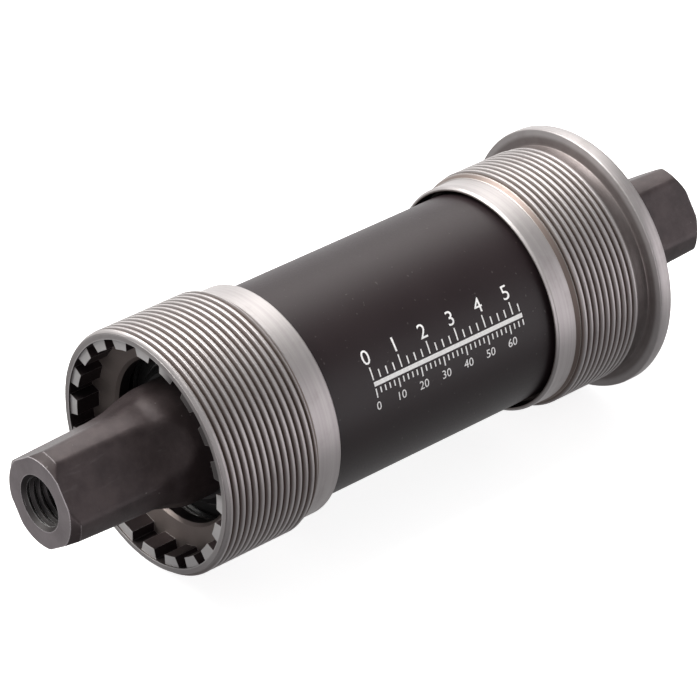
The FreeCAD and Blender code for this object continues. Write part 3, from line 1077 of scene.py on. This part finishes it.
stageSizes = {
    "floorSize": 3.0,
    "floorColour": grey(0.62),
    "floorGlow": 0.80,
    "floorGap": 0.0003,       # under the lowest point
}
skyPatches = {
    # direction, cosines where a patch starts and is full, and strengths outside and inside it
    "above": ((0.485, 0.373, 0.751), -0.30, 0.90, 0.26, 0.64),
    "behind": ((0.83, -0.55, -0.10), 0.72, 0.95, 0.0, 1.25),      # a pale backdrop behind the tube
    "below": ((-0.10, -0.62, -0.78), 0.50, 0.95, 0.0, 0.42),      # light sent back up by the table
}
lights = {
    # place, power, width, height, colour
    "keySoftbox": ((0.29, 0.24, 0.42), 4.2, 0.36, 0.36, (1.0, 1.0, 0.965)),
    "topSoftbox": ((0.16, 0.02, 0.50), 2.4, 0.40, 0.30, (1.0, 1.0, 0.975)),
    "backSoftbox": ((0.25, -0.35, 0.35), 0.8, 0.35, 0.25, (1.0, 0.98, 0.95)),
    "frontFill": ((-0.28, 0.46, -0.04), 1.3, 0.40, 0.30, (1.0, 0.96, 0.985)),
    "rightFill": ((-0.42, -0.42, 0.04), 1.9, 0.70, 0.50, (1.0, 0.96, 0.985)),
}
cameraPlace = {
    "target": (0.0018, 0.0021, -0.0001),
    "azimuth": 229.07,
    "elevation": 32.38,
    "distance": 0.546,
    "lens": 205.9,
    "sensor": 36.0,
    "clip": (0.01, 20.0),
}


def makeFloor():
    graph = materialGraph("paleFloor")
    place = graph.objectPlace()
    cloud = graph.noise(place, 3.0, 3.0)
    colour = graph.mix(cloud * 0.2, stageSizes["floorColour"], grey(0.66))
    material = graph.finish({
        "Base Color": colour,
        "Roughness": 0.75,
        "Emission Color": grey(1.0),
        "Emission Strength": stageSizes["floorGlow"],
    })
    half = stageSizes["floorSize"] / 2
    low = cadBox[0].z - stageSizes["floorGap"]
    corners = [(-half, -half, low), (half, -half, low), (half, half, low), (-half, half, low)]
    floor = makePiece("floor", corners, [(0, 1, 2, 3)], [material])
    floor.visible_diffuse = False
    floor.visible_glossy = False


def skyPatch(graph, place, patch):
    # the sky's strength rises as a direction turns towards one point
    toward, start, stop, low, high = skyPatches[patch]
    turn = graph.add("ShaderNodeVectorMath", {"operation": "DOT_PRODUCT"}, {
        0: place, 1: Vector(toward).normalized()}).out("Value")
    return graph.add("ShaderNodeMapRange", {"interpolation_type": "SMOOTHSTEP"}, {
        "Value": turn, "From Min": start, "From Max": stop, "To Min": low, "To Max": high}).out()


def makeWorld():
    world = bpy.data.worlds.new("softStudio")
    bpy.context.scene.world = world
    graph = Graph(world)
    place = graph.add("ShaderNodeTexCoord").out("Generated")
    sky = skyPatch(graph, place, "above") + skyPatch(graph, place, "behind")
    sky = sky + skyPatch(graph, place, "below")
    # the camera itself sees plain, even sky
    plain = graph.add("ShaderNodeLightPath").out("Is Camera Ray")
    level = graph.add("ShaderNodeMix", None, {"Factor": plain, "A": sky, "B": 1.0}).out()
    light = graph.add("ShaderNodeBackground", None, {"Strength": level}).out()
    graph.add("ShaderNodeOutputWorld", None, {"Surface": light})


def makeLight(name, place, power, width, height, colour):
    data = bpy.data.lights.new(name, "AREA")
    data.shape = "RECTANGLE"
    data.size = width
    data.size_y = height
    data.energy = power
    data.color = colour
    light = placed(name, data)
    light.location = place
    light.rotation_euler = (-Vector(place)).to_track_quat("-Z", "Y").to_euler()


def makeCamera():
    azimuth = math.radians(cameraPlace["azimuth"])
    elevation = math.radians(cameraPlace["elevation"])
    forward = Vector((-math.sin(azimuth) * math.cos(elevation),
                      math.cos(azimuth) * math.cos(elevation), -math.sin(elevation)))
    data = bpy.data.cameras.new("camera")
    data.lens = cameraPlace["lens"]
    data.sensor_width = cameraPlace["sensor"]
    data.clip_start, data.clip_end = cameraPlace["clip"]
    camera = placed("camera", data)
    camera.location = Vector(cameraPlace["target"]) - forward * cameraPlace["distance"]
    camera.rotation_euler = forward.to_track_quat("-Z", "Y").to_euler()
    bpy.context.scene.camera = camera


makeFloor()
makeWorld()
for name, values in lights.items():
    makeLight(name, *values)
makeCamera()
bpy.context.scene.view_settings.view_transform = "Standard"
print("stage made")
